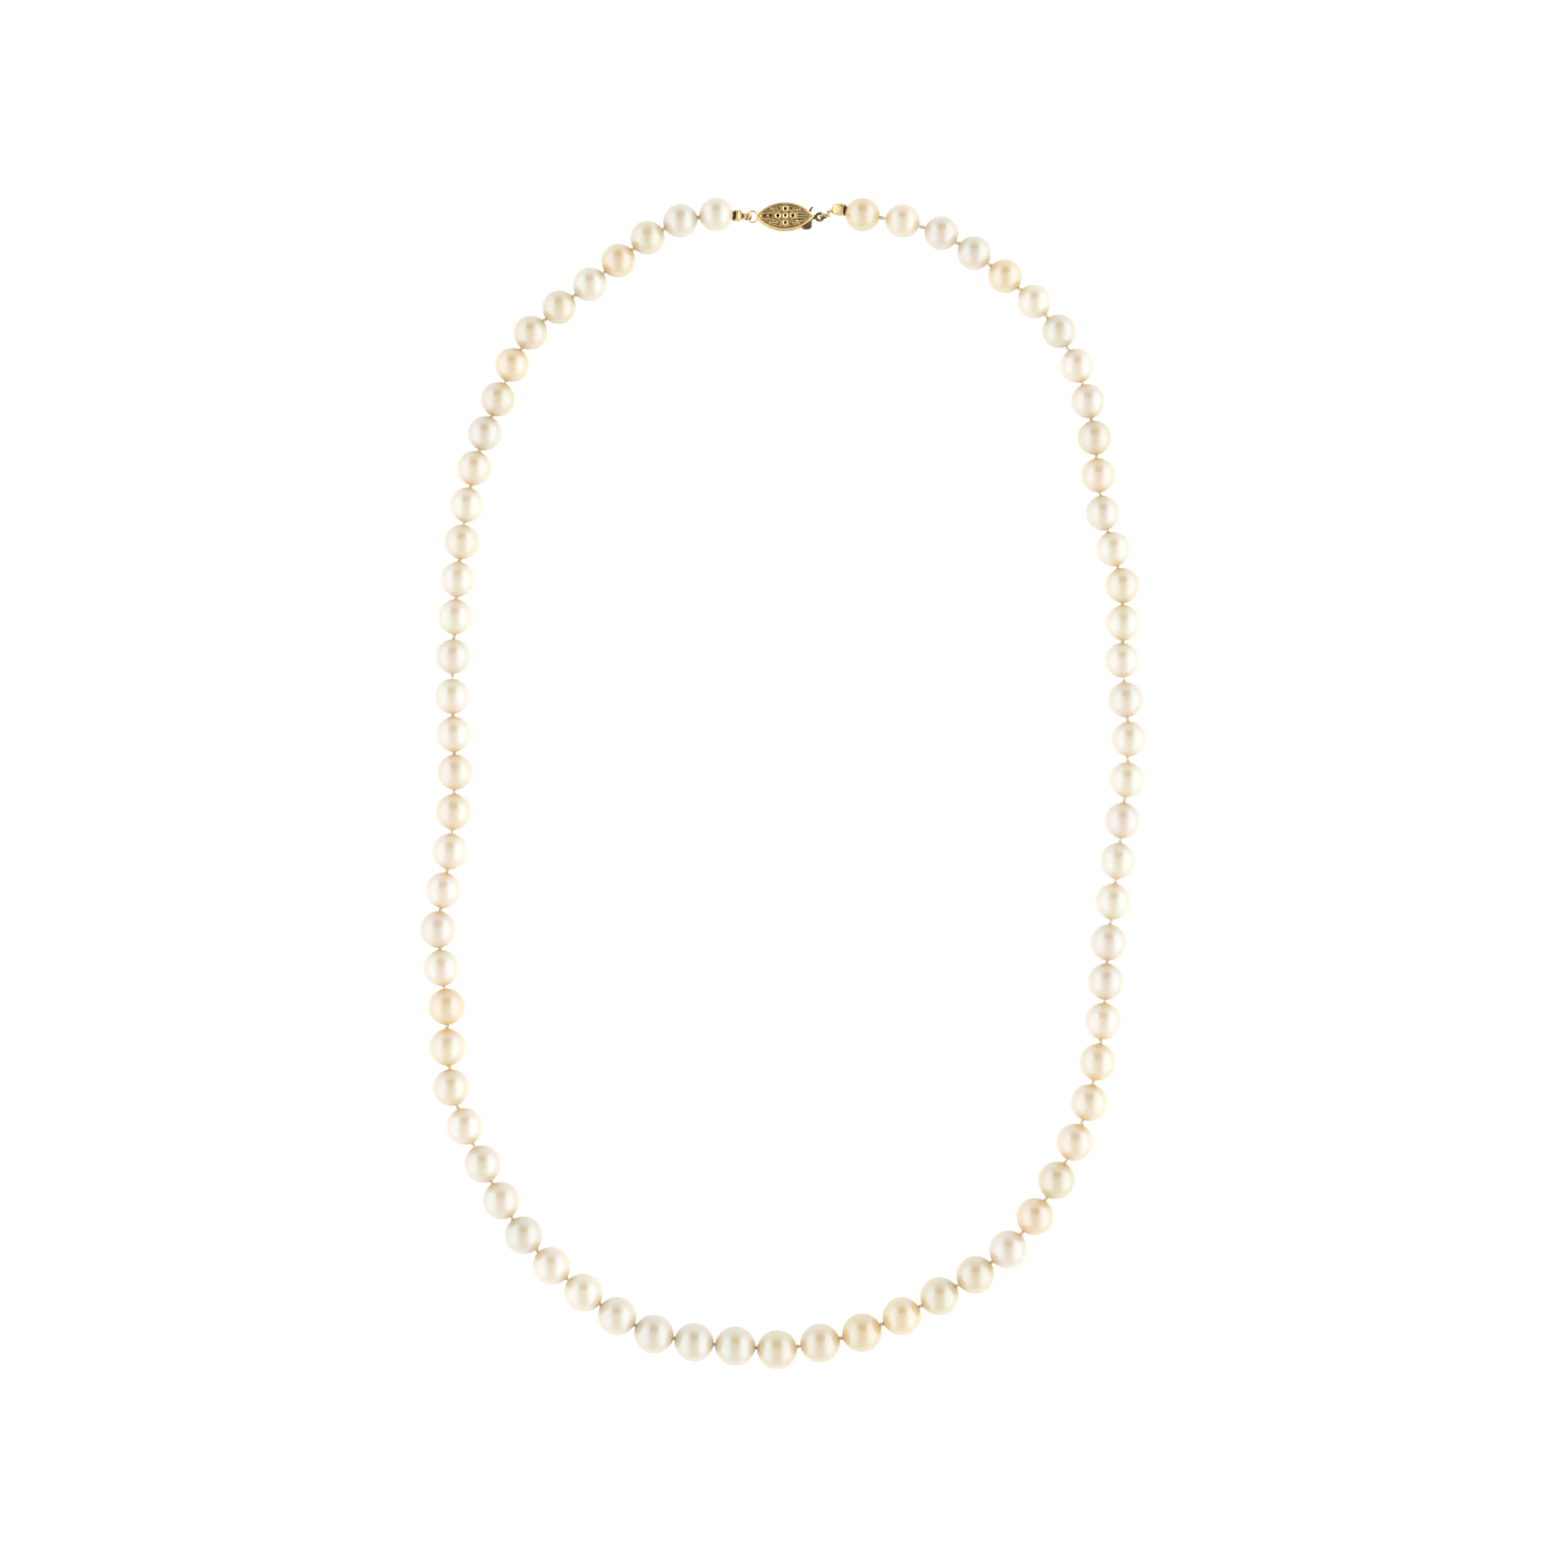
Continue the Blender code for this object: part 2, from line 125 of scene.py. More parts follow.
# Nacre: greener near the clasp and round the bottom, rosier down the sides, and golden now and then
TINTS = {
    "A": (0.76, 0.62, 0.42),
    "B": (0.73, 0.58, 0.33),
    "C": (0.72, 0.60, 0.39),
    "D": (0.78, 0.62, 0.38),
    "E": (0.79, 0.66, 0.44),
    "F": (0.78, 0.59, 0.31),
    "G": (0.74, 0.57, 0.27),
}

COOL_TINTS = "ABBCCC"
WARM_TINTS = "AADDEE"
GOLDEN_TINTS = "FG"
GOLDEN_SHARE = 0.1
TINT_SEED = 1

# How golden a tint's pearls turn towards their drill holes
GOLDEN_ENDS = {"A": 0.55, "B": 0.6, "C": 0.3, "D": 0.9, "E": 0.7, "F": 1.0, "G": 1.0}

# Pearls
PEARL_SIDES = 44
PEARL_RINGS = 30
DRILL_RADIUS = 0.36
DRILL_LIP = 0.1

# Silk: how far the thread goes into a pearl's hole, and how tight a knot sits in its gap
SILK_RADIUS = 0.17
PLY_BULGE = 0.035
PLY_TWIST = 2.4
THREAD_STEP = 0.12
THREAD_INSIDE = 0.7
THREAD_AT_HINGE = -0.02
THREAD_END = 0.06
KNOT_STRAND = 0.14
KNOT_RADIUS = 0.4
KNOT_LENGTH = 0.95
KNOT_SQUEEZE = 0.12
KNOT_PLAY = 0.14

# Seeds: a pearl's or a knot's number is added, so that each keeps its own shape
PEARL_SEED = 1000
KNOT_SEED = 2000
END_KNOT_SEEDS = {"left": 3004, "right": 3005}

# Clasp box: its place, length and width are the CAD's; heights are from its middle plane
BOX_CENTRE = Vector((0.25, 113.75, 1.95))
BOX_HALF_LENGTH = 5.95
BOX_HALF_WIDTH = 2.77
RIM_INSET = 0.21
RIM_HEIGHT = 1.54
PLATE_INSET = 0.36
PLATE_LOW = 1.22
PLATE_HIGH = 1.42
WALL_INSET = 0.75
WALL_END_X = 2.9
WALL_HEIGHT = 1.28
WALL_BEADS = 66
LIP_LOW = 0.85
LIP_HIGH = 1.25
DOME_TOP = 1.78
DOME_FALL = 0.3
RELIEF_DEPTH = -0.34
FLOWER_X = 0.1
FLOWER_Y = 0.08
PETAL_X = 1.5
PETAL_Y = 1.4
RING_X = -6.45
RING_REACH = (1.0, 1.12)
RING_WIRE = 0.19

# Hook: heights are from the box's middle plane too
HOOK_RING_X = 7.0
HOOK_RING_RADIUS = 0.97
HOOK_HOLE_RADIUS = 0.45
TONGUE_HALF_WIDTH = 0.85
TONGUE_LOW = -0.5
TONGUE_HIGH = -0.2
TONGUE_MIDDLE = (TONGUE_LOW + TONGUE_HIGH) / 2
LEAF_START_X = -1.7
LEAF_BEND_X = 2.85
LEAF_RISE = 0.6
LEAF_LOW = -0.1
LEAF_THICK = 0.18
GRIP_RIDGES = 5


def body_names():
    """The body that each CAD node belongs to."""
    bodies = frame["record"]["behaviour"]["bodies"]
    return {node: body for body, nodes in bodies.items() for node in nodes}


BODY_OF = body_names()


# --- Materials ---


def new_material(name, **constants):
    made = bpy.data.materials.new(name)
    made.use_nodes = True
    shader = made.node_tree.nodes["Principled BSDF"]
    for socket, value in constants.items():
        shader.inputs[socket.replace("_", " ")].default_value = value
    return made, made.node_tree, shader


def add(tree, kind, inputs=(), **settings):
    """A new node; an input is a number, a colour, or another node's output."""
    made = tree.nodes.new("ShaderNode" + kind)
    for name, value in settings.items():
        setattr(made, name, value)
    for socket, value in dict(inputs).items():
        if isinstance(value, bpy.types.NodeSocket):
            tree.links.new(value, made.inputs[socket])
        else:
            made.inputs[socket].default_value = value
    return made


def math_node(tree, operation, first, second=0.0, third=0.0):
    return add(tree, "Math", {0: first, 1: second, 2: third}, operation=operation).outputs[0]


def smooth_step(tree, value, low, high, start=0.0, end=1.0):
    sockets = {"Value": value, "From Min": low, "From Max": high, "To Min": start, "To Max": end}
    return add(tree, "MapRange", sockets, interpolation_type="SMOOTHSTEP").outputs["Result"]


def noise(tree, coords, scale, detail=2.0, rough=0.5, shift=None):
    sockets = {"Vector": coords, "Scale": scale, "Detail": detail, "Roughness": rough}
    if shift is None:
        return add(tree, "TexNoise", sockets).outputs["Fac"]
    sockets["W"] = shift
    return add(tree, "TexNoise", sockets, noise_dimensions="4D").outputs["Fac"]


def mix_colour(tree, share, first, second):
    """Sockets 0, 6 and 7 are the colour mix's share and its two colours."""
    made = add(tree, "Mix", data_type="RGBA")
    for socket, value in ((0, share), (6, first), (7, second)):
        if isinstance(value, bpy.types.NodeSocket):
            tree.links.new(value, made.inputs[socket])
        else:
            made.inputs[socket].default_value = value
    return made.outputs[2]


def bump(tree, height, strength, distance, below=None):
    sockets = {"Height": height, "Strength": strength, "Distance": distance}
    if below is not None:
        sockets["Normal"] = below
    return add(tree, "Bump", sockets).outputs["Normal"]


def shaded(colour, factor):
    return tuple(min(c * f, 1.0) for c, f in zip(colour, factor)) + (1.0,)


def nacre(tint):
    """Satin nacre: a warm body colour under a bluish-white lustre, golden near the drill holes.

    Coordinates are the pearl's own, in metres, with X along its hole.
    """
    colour = TINTS[tint]
    made, tree, shader = new_material(
        f"nacre_{tint}",
        IOR=2.1,
        Specular_IOR_Level=0.95,
        Specular_Tint=(0.4, 0.67, 1.0, 1.0),
        Coat_Weight=0.12,
        Coat_Roughness=0.14,
        Coat_IOR=1.5,
        Subsurface_Weight=0.3,
        Subsurface_Radius=(1.0, 0.75, 0.45),
        Subsurface_Scale=1.3 * MM,
    )
    coords = add(tree, "TexCoord").outputs["Object"]
    own = math_node(tree, "MULTIPLY", add(tree, "ObjectInfo").outputs["Random"], 60.0)

    # Overtone: slow drifts between a rosier and a greener body colour
    drift = noise(tree, coords, 260.0, 2.0, shift=own)
    drift = smooth_step(tree, drift, 0.38, 0.62)
    rosy = shaded(colour, (1.02, 0.975, 1.01))
    green = shaded(colour, (0.985, 1.015, 0.97))
    body = mix_colour(tree, drift, green, rosy)

    # Golden ends: stronger on some pearls than on others, with a cloudy edge
    along = math_node(tree, "ABSOLUTE", add(tree, "SeparateXYZ", {0: coords}).outputs["X"])
    cloud = noise(tree, coords, 700.0, 3.0, shift=own)
    cloud = math_node(tree, "MULTIPLY_ADD", cloud, 0.0011, -0.00055)
    along = math_node(tree, "ADD", along, cloud)
    ends = smooth_step(tree, along, 0.0025, 0.0036)
    share = math_node(tree, "FRACT", math_node(tree, "MULTIPLY", own, 0.37))
    share = smooth_step(tree, share, 0.0, 1.0, 0.4 * GOLDEN_ENDS[tint], GOLDEN_ENDS[tint])
    ends = math_node(tree, "MULTIPLY", ends, share)
    body = mix_colour(tree, ends, body, shaded(colour, (1.1, 0.9, 0.45)))
    tree.links.new(body, shader.inputs["Base Color"])

    satin = noise(tree, coords, 900.0, 3.0, shift=own)
    satin = add(tree, "MapRange", {"Value": satin, "To Min": 0.21, "To Max": 0.3}).outputs["Result"]
    tree.links.new(satin, shader.inputs["Roughness"])

    # Growth rings round the drill axis, a soft orange-peel, and a few fine pits
    wave = {"Vector": coords, "Scale": 420.0, "Distortion": 5.0, "Detail": 2.0, "Detail Scale": 1.2}
    rings = add(tree, "TexWave", wave, bands_direction="X", wave_profile="SIN")
    surface = bump(tree, rings.outputs["Fac"], 0.16, 0.00003)
    surface = bump(tree, noise(tree, coords, 1500.0, 3.0, shift=own), 0.3, 0.00004, surface)
    pits = add(tree, "TexVoronoi", {"Vector": coords, "Scale": 800.0}).outputs["Distance"]
    pits = smooth_step(tree, pits, 0.0, 0.16)
    surface = bump(tree, pits, 0.2, 0.00003, surface)
    tree.links.new(surface, shader.inputs["Normal"])
    return made


def silk_look():
    """Twisted cream silk, a little darker where it has been handled."""
    made, tree, shader = new_material(
        "silk_cord",
        Roughness=0.72,
        Sheen_Weight=0.3,
        Sheen_Roughness=0.4,
    )
    coords = add(tree, "TexCoord").outputs["Object"]
    clean = smooth_step(tree, noise(tree, coords, 1200.0, 4.0, 0.6), 0.35, 0.65)
    colour = mix_colour(tree, clean, (0.86, 0.72, 0.54, 1), (0.95, 0.87, 0.72, 1))
    ply = add(tree, "TexWave", {"Vector": coords, "Scale": 3800.0, "Distortion": 2.5},
              bands_direction="DIAGONAL").outputs["Fac"]
    colour = mix_colour(tree, math_node(tree, "MULTIPLY", ply, 0.2), colour, (0.66, 0.5, 0.36, 1))
    tree.links.new(colour, shader.inputs["Base Color"])
    fibres = bump(tree, noise(tree, coords, 9000.0, 2.0), 0.3, 0.00003)
    tree.links.new(bump(tree, ply, 0.6, 0.00005, fibres), shader.inputs["Normal"])
    return made


def gold_look(name, bright, worn, painted_recess_shade, rough, tarnish=0.0, tarnished=(0, 0, 0, 1)):
    """Cast gold: bright and worn patches, painted shade darkening it in recesses, fine scratches and
    casting grain.
    """
    made, tree, shader = new_material(name, Metallic=1.0, IOR=1.5)
    coords = add(tree, "TexCoord").outputs["Object"]
    patch = smooth_step(tree, noise(tree, coords, 900.0, 4.0, 0.6), 0.35, 0.65)
    colour = mix_colour(tree, patch, worn, bright)
    if tarnish:
        stain = noise(tree, coords, 420.0, 5.0, 0.65)
        stain = smooth_step(tree, stain, 0.62 - tarnish, 0.78 - tarnish)
        colour = mix_colour(tree, stain, colour, tarnished)
    # Painted shade: where ambient occlusion finds the surface hemmed in, the colour is darkened
    # towards the recess shade colour
    hidden = add(tree, "AmbientOcclusion", {"Distance": 0.0007}, samples=8).outputs["AO"]
    open_air = smooth_step(tree, hidden, 0.15, 0.75)
    colour = mix_colour(tree, open_air, painted_recess_shade, colour)
    tree.links.new(colour, shader.inputs["Base Color"])

    grain = noise(tree, coords, 2600.0, 4.0, 0.6)
    low, high = rough
    gloss = add(tree, "MapRange", {"Value": grain, "To Min": low, "To Max": high}).outputs["Result"]
    tree.links.new(gloss, shader.inputs["Roughness"])
    slanted = {"Vector": coords, "Scale": (600.0, 9000.0, 3000.0), "Rotation": (0.0, 0.0, 0.5)}
    scratches = noise(tree, add(tree, "Mapping", slanted).outputs["Vector"], 1.0, 2.0)
    surface = bump(tree, scratches, 0.12, 0.00002)
    tree.links.new(bump(tree, grain, 0.25, 0.00004, surface), shader.inputs["Normal"])
    return made


def floor_look():
    """A plain white surface, lit from below as a photographer's light table is."""
    made, tree, shader = new_material("light_table", Roughness=0.9, Specular_IOR_Level=0.2)
    coords = add(tree, "TexCoord").outputs["Object"]
    tone = mix_colour(tree, noise(tree, coords, 20.0), (0.5, 0.5, 0.5, 1), (0.53, 0.53, 0.53, 1))
    tree.links.new(tone, shader.inputs["Base Color"])
    shader.inputs["Emission Color"].default_value = (1, 1, 1, 1)
    shader.inputs["Emission Strength"].default_value = TABLE_GLOW
    return made


# --- Studio ---


def build_studio():
    """A white tent: bright panels left and right, a dim strip overhead with a darker hatch in it.

    Brightness is drawn against the direction halfway between the light's and straight up, so a shape
    in it has the place and size that its reflection has on a ball seen from above.
    """
    world = bpy.data.worlds.new("tent")
    bpy.context.scene.world = world
    world.use_nodes = True
    tree = world.node_tree
    toward = add(tree, "TexCoord").outputs["Generated"]
    toward = add(tree, "VectorMath", {0: toward}, operation="NORMALIZE").outputs["Vector"]
    halfway = add(tree, "VectorMath", {0: toward, 1: (0, 0, 1)}, operation="ADD").outputs["Vector"]
    halfway = add(tree, "VectorMath", {0: halfway}, operation="NORMALIZE").outputs["Vector"]
    parts = add(tree, "SeparateXYZ", {0: halfway})
    across, up = parts.outputs["X"], parts.outputs["Y"]
    aside = math_node(tree, "ABSOLUTE", across)
    away = math_node(tree, "ABSOLUTE", up)
    panel = math_node(tree, "MULTIPLY", smooth_step(tree, aside, *PANEL_SIDE),
                      smooth_step(tree, away, *PANEL_ENDS, 1.0, 0.0))
    balance = smooth_step(tree, across, -0.5, 0.5, PANEL_LEFT, PANEL_RIGHT)
    panel = math_node(tree, "MULTIPLY", panel, balance)
    from_hatch = math_node(tree, "ABSOLUTE", math_node(tree, "SUBTRACT", up, HATCH_UP))
    hatch = math_node(tree, "MULTIPLY", smooth_step(tree, aside, *HATCH_SIDE, 1.0, 0.0),
                      smooth_step(tree, from_hatch, *HATCH_ENDS, 1.0, 0.0))
    above = {0: halfway, 1: (0, -0.02, 1)}
    reach = add(tree, "VectorMath", above, operation="DISTANCE").outputs["Value"]
    lens = smooth_step(tree, reach, *LENS_EDGE, 1.0, 0.0)
    level = math_node(tree, "ADD", panel, TENT_LEVEL)
    level = math_node(tree, "SUBTRACT", level, math_node(tree, "MULTIPLY", hatch, HATCH_SHADE))
    level = math_node(tree, "SUBTRACT", level, math_node(tree, "MULTIPLY", lens, LENS_SHADE))
    tree.links.new(level, tree.nodes["Background"].inputs["Strength"])
    tree.nodes["Background"].inputs["Color"].default_value = (1, 1, 1, 1)


def build_floor():
    mesh = bpy.data.meshes.new("floor")
    bm = bmesh.new()
    bmesh.ops.create_grid(bm, x_segments=8, y_segments=8, size=TABLE_HALF)
    bm.to_mesh(mesh)
    bm.free()
    floor = bpy.data.objects.new("floor", mesh)
    floor.location.z = -TABLE_DROP * MM
    floor.data.materials.append(floor_look())
    bpy.context.collection.objects.link(floor)


def build_camera():
    data = bpy.data.cameras.new("camera")
    data.sensor_width = SENSOR
    data.lens = LENS
    camera = bpy.data.objects.new("camera", data)
    height = VIEW_WIDTH * LENS / SENSOR + PEARL_MIDDLE
    camera.location = Vector((*VIEW_CENTRE, height)) * MM
    bpy.context.collection.objects.link(camera)
    bpy.context.scene.camera = camera


# --- Mesh tools ---


def finish_piece(name, bm, look, body, nodes, place=None, sharp=40):
    """Turns a bmesh in millimetres into a piece that rides on a body and stands for CAD nodes."""
    bmesh.ops.recalc_face_normals(bm, faces=bm.faces[:])
    bmesh.ops.scale(bm, verts=bm.verts[:], vec=(MM, MM, MM))
    mesh = bpy.data.meshes.new(name)
    bm.to_mesh(mesh)
    bm.free()
    mesh.materials.append(look)
    mesh.shade_smooth()
    mesh.set_sharp_from_angle(angle=math.radians(sharp))
    piece = bpy.data.objects.new(name, mesh)
    bpy.context.collection.objects.link(piece)
    if place is not None:
        piece.matrix_world = Matrix.Translation(place.translation * MM) @ place.to_3x3().to_4x4()
    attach(piece, body)
    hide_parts(*nodes)
    return piece


def join_rings(bm, rings, closed=False):
    """A skin over rings of vertices, joined end to end if closed and capped if not."""
    pairs = list(zip(rings, rings[1:]))
    if closed:
        pairs.append((rings[-1], rings[0]))
    else:
        bm.faces.new(rings[0][::-1])
        bm.faces.new(rings[-1])
    for first, second in pairs:
        for k in range(len(first)):
            after = (k + 1) % len(first)
            bm.faces.new((first[k], first[after], second[after], second[k]))


def oval(width, height, sides=10):
    turns = [math.tau * k / sides for k in range(sides)]
    return [(width * math.cos(a), height * math.sin(a)) for a in turns]


def sweep(bm, points, section, closed=False, up=Z_AXIS, taper=None):
    """Draws a section, a list of (across, up), along a line. Corners are mitred."""
    rings = []
    count = len(points)
    for i, point in enumerate(points):
        before = points[i - 1] if closed or i else None
        after = points[(i + 1) % count] if closed or i + 1 < count else None
        arriving = (point - before).normalized() if before is not None else None
        leaving = (after - point).normalized() if after is not None else None
        if arriving is None:
            arriving = leaving
        if leaving is None:
            leaving = arriving
        ahead = (arriving + leaving).normalized()
        side = up.cross(ahead).normalized()
        rise = ahead.cross(side)
        mitre = 1 / max(ahead.dot(arriving), 0.55)
        size = taper(i / (count - 1)) if taper else 1.0
        ring = [bm.verts.new(point + size * (u * mitre * side + v * rise)) for u, v in section]
        rings.append(ring)
    join_rings(bm, rings, closed)


def smooth_line(points, steps=6, closed=False):
    """A Catmull-Rom curve through the points."""
    if closed:
        knots = [points[-1], *points, points[0], points[1]]
    else:
        knots = [2 * points[0] - points[1], *points, 2 * points[-1] - points[-2]]
    line = []
    for a, b, c, d in zip(knots, knots[1:], knots[2:], knots[3:]):
        for step in range(steps):
            t = step / steps
            line.append(
                0.5 * (2 * b + (c - a) * t + (2 * a - 5 * b + 4 * c - d) * t**2
                       + (3 * b - 3 * c + d - a) * t**3)
            )
    return line if closed else [*line, points[-1]]


def lathe(bm, profile, sides, centre=Vector(), axis="Z", squareness=0.0):
    """Turns a closed profile of (distance, along) round an axis. Squareness gives it four corners."""
    rings = []
    for reach, along in profile:
        ring = []
        for k in range(sides):
            turn = math.tau * (k + 0.5) / sides
            corner = 1 + squareness * (1 - math.cos(4 * turn)) / 2
            u, v = reach * corner * math.cos(turn), reach * corner * math.sin(turn)
            point = Vector((u, v, along)) if axis == "Z" else Vector((along, u, v))
            ring.append(bm.verts.new(centre + point))
        rings.append(ring)
    join_rings(bm, rings, closed=True)


def bead(bm, centre, radius, flatness=0.8):
    made = bmesh.ops.create_uvsphere(bm, u_segments=14, v_segments=8, radius=radius)
    for vert in made["verts"]:
        vert.co.z *= flatness
        vert.co += centre


def pierced_plate(bm, outline, holes, low, high, bevel=0.04):
    """A flat plate with holes through it and softened edges. Outlines are lists of (x, y)."""
    plate = bmesh.new()
    edges = []
    for loop in (outline, *holes):
        verts = [plate.verts.new((x, y, low)) for x, y in loop]
        edges += [plate.edges.new(ends) for ends in zip(verts, verts[1:] + verts[:1])]
    bmesh.ops.triangle_fill(plate, edges=edges, use_beauty=True)
    grown = bmesh.ops.extrude_face_region(plate, geom=plate.faces[:])
    raised = [item for item in grown["geom"] if isinstance(item, bmesh.types.BMVert)]
    bmesh.ops.translate(plate, verts=raised, vec=(0, 0, high - low))
    bmesh.ops.recalc_face_normals(plate, faces=plate.faces[:])
    bmesh.ops.dissolve_limit(plate, angle_limit=0.01, verts=plate.verts[:], edges=plate.edges[:])
    rims = [edge for edge in plate.edges if edge.is_manifold and edge.calc_face_angle() > 1.0
            and abs(edge.verts[0].co.z - edge.verts[1].co.z) < 1e-6]
    bmesh.ops.bevel(plate, geom=rims, offset=bevel, segments=2, profile=0.5, affect="EDGES",
                    clamp_overlap=True)
    bmesh.ops.triangulate(plate, faces=[f for f in plate.faces if len(f.verts) > 4])
    holder = bpy.data.meshes.new("plate")
    plate.to_mesh(holder)
    plate.free()
    bm.from_mesh(holder)
    bpy.data.meshes.remove(holder)


def circle(x, y, radius, steps=18):
    turns = [math.tau * k / steps for k in range(steps)]
    return [(x + radius * math.cos(a), y + radius * math.sin(a)) for a in turns]


# --- Strand ---


def point_along(line, distance):
    for a, b in zip(line, line[1:]):
        step = (b - a).length
        if distance <= step:
            return a.lerp(b, distance / step)
        distance -= step
    return line[-1].copy()


def pearl_radius(number):
    """Graduated from the clasp to the centre, with both pearls of a pair alike."""
    pair_middle = 2 * ((number - 1) // 2) + 1.5
    nearness = 1 - abs(pair_middle - (CENTRE_PEARL - 0.5)) / (CENTRE_PEARL - 1)
    return END_RADIUS + (CENTRE_RADIUS - END_RADIUS) * max(nearness, 0) ** GRADUATION


def pearl_centres():
    """Every pearl's centre by number, from the route. Each stands on the surface."""
    centres = {}
    anchors = [Vector(place[1:]) for place in ROUTE]
    line = smooth_line(anchors, ROUTE_STEPS)
    for i, (start, end) in enumerate(zip(ROUTE, ROUTE[1:])):
        stretch = line[i * ROUTE_STEPS:(i + 1) * ROUTE_STEPS + 1]
        numbers = range(start[0], end[0] + 1)
        radii = [pearl_radius(n) for n in numbers]
        steps = [a + b for a, b in zip(radii, radii[1:])]
        length = sum((b - a).length for a, b in zip(stretch, stretch[1:]))
        knot = (length - sum(steps)) / len(steps)
        distance = 0.0
        for number, radius, step in zip(numbers, radii, [*steps, 0.0]):
            x, y = point_along(stretch, distance)
            centres[number] = Vector((x, y, radius))
            distance += step + knot
    return centres


def nacre_flaws(rng):
    """What makes one pearl unlike the next, as a function of a direction: its share of full size."""
    lobes = []
    for _ in range(4):
        lobe = Vector((rng.uniform(-1, 1), rng.uniform(-1, 1), rng.uniform(-1, 1))).normalized()
        lobes.append((lobe, rng.uniform(0.002, 0.007)))
    dimples = []
    for _ in range(rng.choice((0, 1, 1, 2, 3))):
        dimple = Vector((rng.uniform(-0.9, 0.9), rng.uniform(-1, 1), rng.uniform(-1, 1)))
        dimple.normalize()
        dimples.append((dimple, rng.uniform(0.04, 0.09), rng.uniform(0.002, 0.006)))
    ring_at = rng.uniform(-0.8, 0.8)
    ring_depth = rng.choice((0.0, 0.0, 0.0, 0.004, 0.008))
    pointed = rng.choice((0.008, 0.016, 0.024, 0.03))

    def size(way):
        share = 1.0
        for lobe, depth in lobes:
            share -= depth * (1 + way.dot(lobe)) / 2
        for dimple, width, depth in dimples:
            share -= depth * math.exp(-((way - dimple).length / width) ** 2)
        share -= ring_depth * math.exp(-((way.x - ring_at) / 0.05) ** 2)
        return share + pointed * max((abs(way.x) - 0.78) / 0.22, 0.0) ** 2

    return size


def pearl_mesh(radius, rng):
    """A drilled pearl with its hole along X."""
    size = nacre_flaws(rng)
    mouth = math.asin((DRILL_RADIUS + DRILL_LIP) / radius)
    bm = bmesh.new()
    rings = []
    for i in range(PEARL_RINGS + 1):
        polar = mouth + (math.pi - 2 * mouth) * i / PEARL_RINGS
        ring = []
        for k in range(PEARL_SIDES):
            turn = math.tau * k / PEARL_SIDES
            way = Vector((-math.cos(polar), math.sin(polar) * math.sin(turn),
                          -math.sin(polar) * math.cos(turn)))
            ring.append(bm.verts.new(way * radius * size(way)))
        rings.append(ring)
    ends = []
    for side, mouth_ring in ((1, rings[-1]), (-1, rings[0])):
        edge = sum((v.co.x for v in mouth_ring), 0.0) / PEARL_SIDES
        hole = []
        for depth, wide in ((0.015, DRILL_RADIUS + 0.03), (0.1, DRILL_RADIUS)):
            around = []
            for k in range(PEARL_SIDES):
                turn = math.tau * k / PEARL_SIDES
                around.append(bm.verts.new((edge - side * depth, wide * math.sin(turn),
                                            -wide * math.cos(turn))))
            hole.append(around)
        ends.append(hole)
    join_rings(bm, rings + ends[0] + ends[1][::-1], closed=True)
    return bm


def pair_node(number):
    """The CAD node that a pearl belongs to."""
    return f"pearl_pair_{(number + 1) // 2:02d}"


def pearl_tints():
    """Each pearl's tint by number, drawn at random from the tints of its stretch of the strand."""
    rng = random.Random(TINT_SEED)
    tints = {}
    for number in range(1, PEARLS + 1):
        from_centre = abs(number - CENTRE_PEARL) / (PEARLS / 2)
        down_the_side = 1 - abs(2 * from_centre - 1)
        family = WARM_TINTS if rng.random() < 1.5 * down_the_side else COOL_TINTS
        if rng.random() < GOLDEN_SHARE:
            family = GOLDEN_TINTS
        tints[number] = rng.choice(family)
    return tints


def build_pearls(centres):
    looks = {tint: nacre(tint) for tint in TINTS}
    tints = pearl_tints()
    for number, centre in centres.items():
        before = centres.get(number - 1, centre)
        after = centres.get(number + 1, centre)
        ahead = ((after - centre).normalized() + (centre - before).normalized()).to_2d()
        heading = math.atan2(ahead.y, ahead.x)
        rng = random.Random(PEARL_SEED + number)
        place = Matrix.Translation(centre) @ Matrix.Rotation(heading, 4, "Z")
        look = looks[tints[number]]
        node = pair_node(number)
        finish_piece(f"pearl_{number:02d}", pearl_mesh(centre.z, rng), look, BODY_OF[node],
                     [node], place)


def silk_thread(bm, start, end):
    """Three plies of silk twisted together, straight from start to end."""
    length = (end - start).length
    ahead = (end - start) / length
    side = Z_AXIS.cross(ahead).normalized()
    rise = ahead.cross(side)
    steps = max(int(length / THREAD_STEP), 4)
    rings = []
    for i in range(steps + 1):
        along = length * i / steps
        ring = []
        for k in range(12):
            turn = math.tau * k / 12
            reach = SILK_RADIUS + PLY_BULGE * math.cos(3 * turn)
            turn += PLY_TWIST * along
            ring.append(bm.verts.new(start + along * ahead
                                     + reach * (math.cos(turn) * side + math.sin(turn) * rise)))
        rings.append(ring)
    join_rings(bm, rings)


def overhand_knot(bm, centre, ahead, length, rng):
    """A tight overhand knot: a trefoil of cord, flattened between the two pearls that press on it."""
    side = Z_AXIS.cross(ahead).normalized()
    rise = ahead.cross(side)
    spin = rng.uniform(0, math.tau)
    reach = (KNOT_RADIUS - KNOT_STRAND) / 2.6
    thick = max(length / 2 - KNOT_STRAND, 0.06)
    points = []
    for k in range(54):
        t = math.tau * k / 54
        u = math.sin(t) + 2 * math.sin(2 * t)
        v = math.cos(t) - 2 * math.cos(2 * t)
        around = Matrix.Rotation(spin, 2) @ Vector((u, v))
        points.append(centre + reach * (around.x * side + around.y * rise)
                      - thick * math.sin(3 * t) * ahead)
    sweep(bm, points, oval(KNOT_STRAND, KNOT_STRAND, 8), closed=True, up=ahead)


